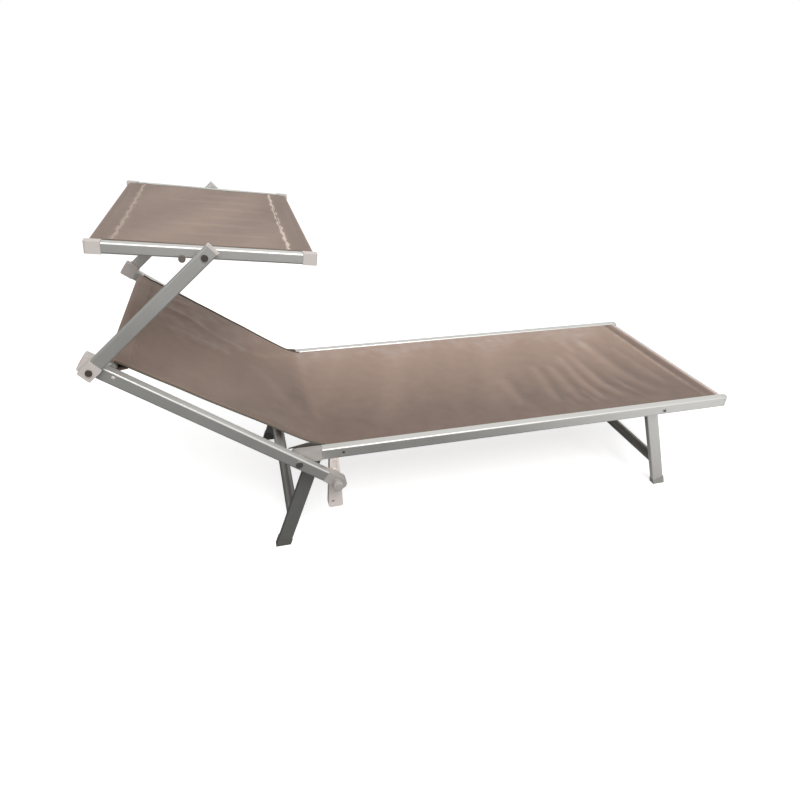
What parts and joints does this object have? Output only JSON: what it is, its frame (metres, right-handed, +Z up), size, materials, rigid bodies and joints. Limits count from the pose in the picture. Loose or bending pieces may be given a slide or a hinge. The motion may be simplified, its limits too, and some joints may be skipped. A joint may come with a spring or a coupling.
{
  "type": "sun lounger",
  "caption": "Folding aluminium sun lounger with a textile sling, a reclining backrest and a tilting canopy on two arms.",
  "frame": {"origin": "on the floor, under the middle of the lounger's own box", "axes": "+X towards the foot end, -X towards the head end, +Y towards the far side, +Z up"},
  "size_m": [1.6704, 0.6984, 0.8426],
  "materials": {
    "frame_aluminium": "satin anodised extrusion",
    "leg_aluminium": "satin anodised extrusion, greyer",
    "white_plastic": "matte moulded plastic",
    "grey_plastic": "matte moulded plastic",
    "dark_plastic": "matte moulded plastic",
    "steel": "zinc plated steel",
    "sling_fabric": "fine woven textile, taupe"
  },
  "bodies": {
    "seat_frame": {"seat_rail_near": "frame_aluminium", "seat_rail_far": "frame_aluminium", "foot_end_cap_near": "grey_plastic", "foot_end_cap_far": "grey_plastic", "hinge_block_near": "grey_plastic", "hinge_block_far": "grey_plastic", "position_plate_near": "grey_plastic", "position_plate_far": "grey_plastic", "foot_bar": "frame_aluminium", "seat_cross_tube": "frame_aluminium", "seat_sling": "sling_fabric"},
    "foot_leg": {"foot_leg_post_near": "leg_aluminium", "foot_leg_post_far": "leg_aluminium", "foot_leg_foot_near": "dark_plastic", "foot_leg_foot_far": "dark_plastic", "foot_leg_bolt_near": "steel", "foot_leg_bolt_far": "steel", "foot_leg_crossbar": "leg_aluminium"},
    "head_leg": {"head_leg_post_near": "leg_aluminium", "head_leg_post_far": "leg_aluminium", "head_leg_foot_near": "dark_plastic", "head_leg_foot_far": "dark_plastic", "head_leg_bolt_near": "steel", "head_leg_bolt_far": "steel", "head_leg_crossbar": "leg_aluminium"},
    "backrest": {"back_rail_near": "frame_aluminium", "back_rail_far": "frame_aluminium", "back_head_cap_near": "white_plastic", "back_head_cap_far": "white_plastic", "back_latch_block_near": "grey_plastic", "back_latch_block_far": "grey_plastic", "hinge_bolt_near": "steel", "hinge_bolt_far": "steel", "head_bar": "frame_aluminium", "back_cross_tube": "frame_aluminium", "back_sling": "sling_fabric"},
    "plunger_near": {"plunger_near": "dark_plastic"},
    "plunger_far": {"plunger_far": "dark_plastic"},
    "canopy_arms": {"canopy_arm_near": "frame_aluminium", "canopy_arm_far": "frame_aluminium", "arm_lower_cap_near": "white_plastic", "arm_lower_cap_far": "white_plastic", "arm_upper_cap_near": "white_plastic", "arm_upper_cap_far": "white_plastic", "arm_lower_bolt_near": "dark_plastic", "arm_lower_bolt_far": "dark_plastic", "arm_upper_bolt_near": "dark_plastic", "arm_upper_bolt_far": "dark_plastic"},
    "canopy": {"canopy_rail_near": "frame_aluminium", "canopy_rail_far": "frame_aluminium", "canopy_head_corner_near": "white_plastic", "canopy_head_corner_far": "white_plastic", "canopy_foot_corner_near": "white_plastic", "canopy_foot_corner_far": "white_plastic", "canopy_buffer_near": "dark_plastic", "canopy_buffer_far": "dark_plastic", "canopy_head_bar": "frame_aluminium", "canopy_foot_bar": "frame_aluminium", "canopy_cloth": "sling_fabric"}
  },
  "joints": [
    {"name": "backrest_recline", "type": "hinge", "parent": "seat_frame", "child": "backrest", "pos_m": [-0.41783, 0, 0.29655], "axis": [0, -1, 0], "range_deg": [-6.9, 37.1]},
    {"name": "foot_leg_fold", "type": "hinge", "parent": "seat_frame", "child": "foot_leg", "pos_m": [0.59987, 0, 0.28745], "axis": [0, 1, 0], "range_deg": [0, 104]},
    {"name": "head_leg_fold", "type": "hinge", "parent": "seat_frame", "child": "head_leg", "pos_m": [-0.36883, 0, 0.28745], "axis": [0, -1, 0], "range_deg": [0, 104]},
    {"name": "canopy_arms_swing", "type": "hinge", "parent": "backrest", "child": "canopy_arms", "pos_m": [-0.81024, 0, 0.59333], "axis": [0, -1, 0], "range_deg": [-40, 100]},
    {"name": "canopy_tilt", "type": "hinge", "parent": "canopy_arms", "child": "canopy", "pos_m": [-0.56533, 0, 0.80698], "axis": [0, 1, 0], "range_deg": [0, 60]},
    {"name": "plunger_near_slide", "type": "slide", "parent": "backrest", "child": "plunger_near", "axis": [0, 1, 0], "range_m": [0, 0.008]},
    {"name": "plunger_far_slide", "type": "slide", "parent": "backrest", "child": "plunger_far", "axis": [0, -1, 0], "range_m": [0, 0.008]}
  ]
}
